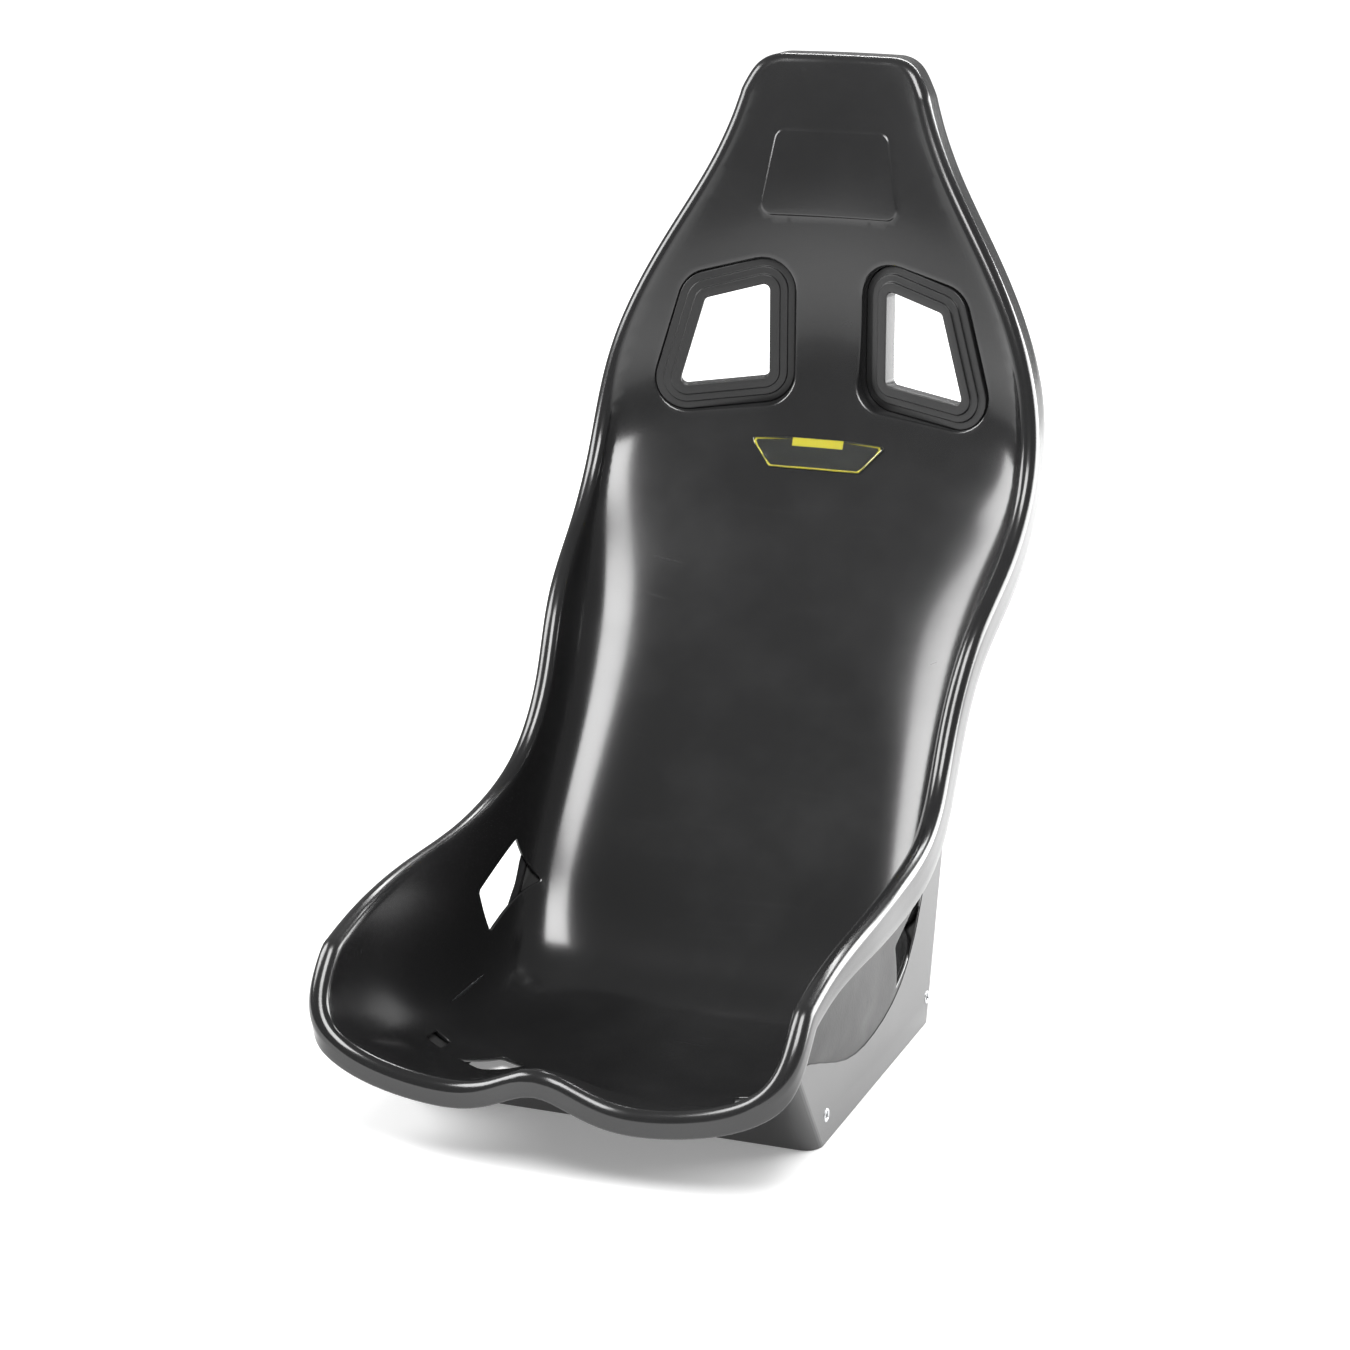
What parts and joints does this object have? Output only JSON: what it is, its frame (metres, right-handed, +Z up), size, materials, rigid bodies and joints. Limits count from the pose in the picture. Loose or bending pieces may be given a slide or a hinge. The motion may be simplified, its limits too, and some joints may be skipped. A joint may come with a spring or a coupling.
{
  "type": "racing seat",
  "caption": "Fixed-back moulded racing seat with rolled rim, five belt openings, bonded foot and threaded bushes for side mounting.",
  "frame": {"origin": "middle of the overall box, on the floor under the seat", "axes": "-Y towards the front edge of the seat, +X to the sitter's left or right symmetrically, +Z up; the sides mirror in the plane X = 0"},
  "size_m": [0.455, 0.7904, 0.848],
  "materials": {
    "gelcoat": "glossy black gelcoat on glass fibre",
    "adhesive": "cured structural adhesive",
    "core": "rigid foam core",
    "plate_steel": "zinc-plated steel plate",
    "bush_steel": "zinc-plated turned steel",
    "frame_plastic": "satin black moulded plastic",
    "screw_steel": "black screws",
    "badge_print": "dark printed plate with a yellow edge line",
    "clear_resin": "domed resin"
  },
  "bodies": {
    "root": {"seat_moulding": "gelcoat", "base_moulding": "gelcoat", "bond_line": "adhesive", "foot_core_left": "core", "foot_core_right": "core", "mount_plate_left": "plate_steel", "mount_plate_right": "plate_steel", "bush_left_front": "bush_steel", "bush_left_rear": "bush_steel", "bush_right_front": "bush_steel", "bush_right_rear": "bush_steel", "slot_bezel_left": "frame_plastic", "slot_bezel_right": "frame_plastic", "slot_ring_left": "frame_plastic", "slot_ring_right": "frame_plastic", "bezel_screws_left": "screw_steel", "bezel_screws_right": "screw_steel", "badge_plate": "badge_print", "badge_dome": "clear_resin"}
  },
  "joints": []
}
